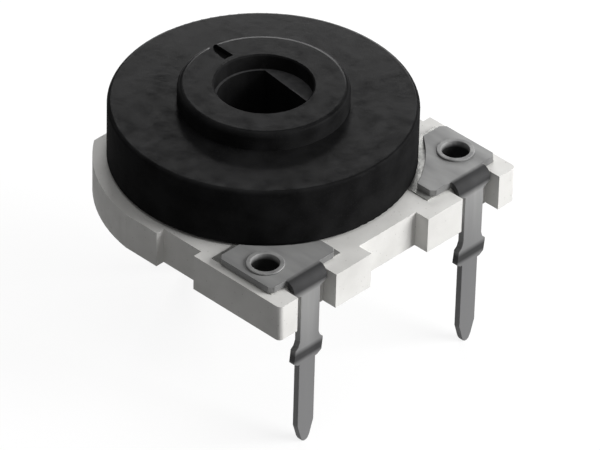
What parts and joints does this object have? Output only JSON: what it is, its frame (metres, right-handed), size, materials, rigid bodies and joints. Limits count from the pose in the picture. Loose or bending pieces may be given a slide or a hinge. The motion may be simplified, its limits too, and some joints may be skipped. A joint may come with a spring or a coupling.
{
  "type": "trimmer potentiometer",
  "caption": "Open-frame single-turn trimmer: white ceramic base, black rotor disc with a flatted shaft socket, tinned board pins.",
  "frame": {"origin": "on the rotor axis, in the plane of the circuit board on which the terminals' shoulders seat", "axes": "+Z along the rotor axis away from the board, -Y towards the two track pins, +Y towards the wiper pin"},
  "size_m": [0.0216, 0.0222, 0.0182],
  "materials": {
    "ceramic": "unglazed fired ceramic, matt, faintly speckled",
    "track": "fired resistive film, dark grey, semi-matt",
    "silver_print": "fired silver print, dull grey",
    "tinned_metal": "tinned sheet metal, satin",
    "bush_metal": "nickel-plated brass, satin",
    "rotor_moulding": "black moulded plastic, fine matt with soft edge sheen",
    "spring_bronze": "phosphor bronze strip, bright",
    "spring_steel": "dark spring steel"
  },
  "bodies": {
    "base": {"ceramic_base": "ceramic", "resistive_track": "track", "left_end_pad": "silver_print", "right_end_pad": "silver_print", "left_terminal": "tinned_metal", "right_terminal": "tinned_metal", "left_eyelet": "tinned_metal", "right_eyelet": "tinned_metal", "collector_bush": "bush_metal", "wiper_terminal": "tinned_metal"},
    "rotor": {"rotor_disc": "rotor_moulding", "wiper_spring": "spring_bronze", "spring_washer": "spring_steel", "retaining_ring": "spring_steel"}
  },
  "joints": [
    {"name": "rotor_turn", "type": "hinge", "parent": "base", "child": "rotor", "pos_m": [0, 0, 0.006], "axis": [0, 0, 1], "range_deg": [-123, 137]}
  ]
}
